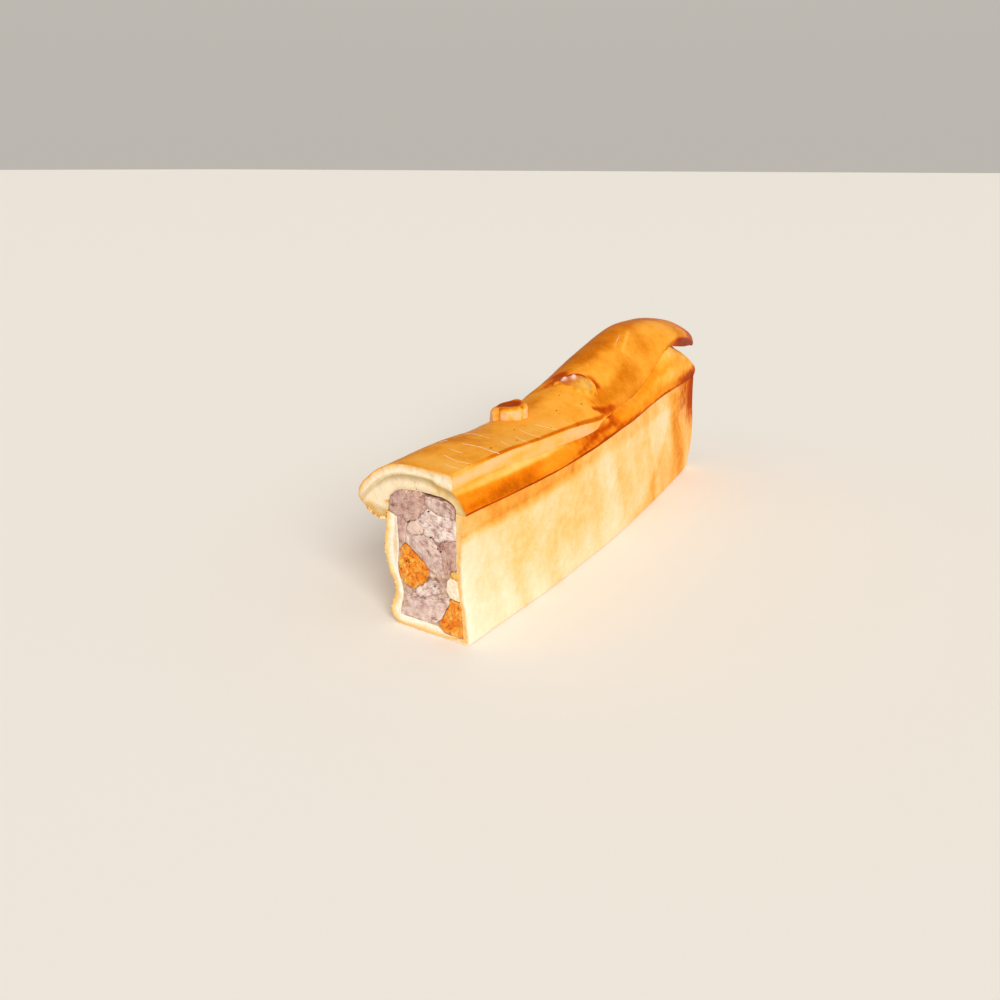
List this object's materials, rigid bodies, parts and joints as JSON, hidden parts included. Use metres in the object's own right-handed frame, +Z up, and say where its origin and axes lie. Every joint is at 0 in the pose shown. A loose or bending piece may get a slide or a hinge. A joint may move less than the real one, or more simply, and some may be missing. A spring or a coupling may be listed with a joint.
{
  "type": "pate en croute",
  "caption": "Long loaf of coarse pate baked in a pastry case, cut at one end, with pastry flaps folded over the filling and a puffed golden top sheet with chimneys.",
  "frame": {"origin": "middle of the loaf's base, on the surface that it stands on", "axes": "+Y along the loaf away from its cut end, +Z up, +X to the right as seen from the cut end"},
  "size_m": [0.0801, 0.3612, 0.1201],
  "materials": {
    "crust": "baked pale shortcrust, streaked gold",
    "flap": "pale dough inside, baked gold where it shows",
    "glazed_top": "egg-washed golden crust",
    "chimney": "browned egg-washed pastry",
    "jelly": "clear set jelly",
    "forcemeat": "moist minced meat",
    "pork": "moist cooked meat",
    "fat": "soft white fat",
    "fruit": "moist dried fruit"
  },
  "bodies": {
    "root": {"case": "crust", "flap_right": "flap", "flap_left": "flap", "top_sheet": "glazed_top", "chimney_near": "chimney", "chimney_far": "chimney", "jelly": "jelly", "forcemeat": "forcemeat", "pork_top_left": "pork", "pork_left": "pork", "pork_top_right": "pork", "pork_right": "pork", "pork_diagonal": "pork", "pork_right_low": "pork", "pork_pale": "pork", "pork_bottom": "pork", "fat_middle": "fat", "fat_right": "fat", "fruit_left": "fruit", "fruit_right": "fruit", "fruit_yellow": "fruit"}
  },
  "joints": []
}
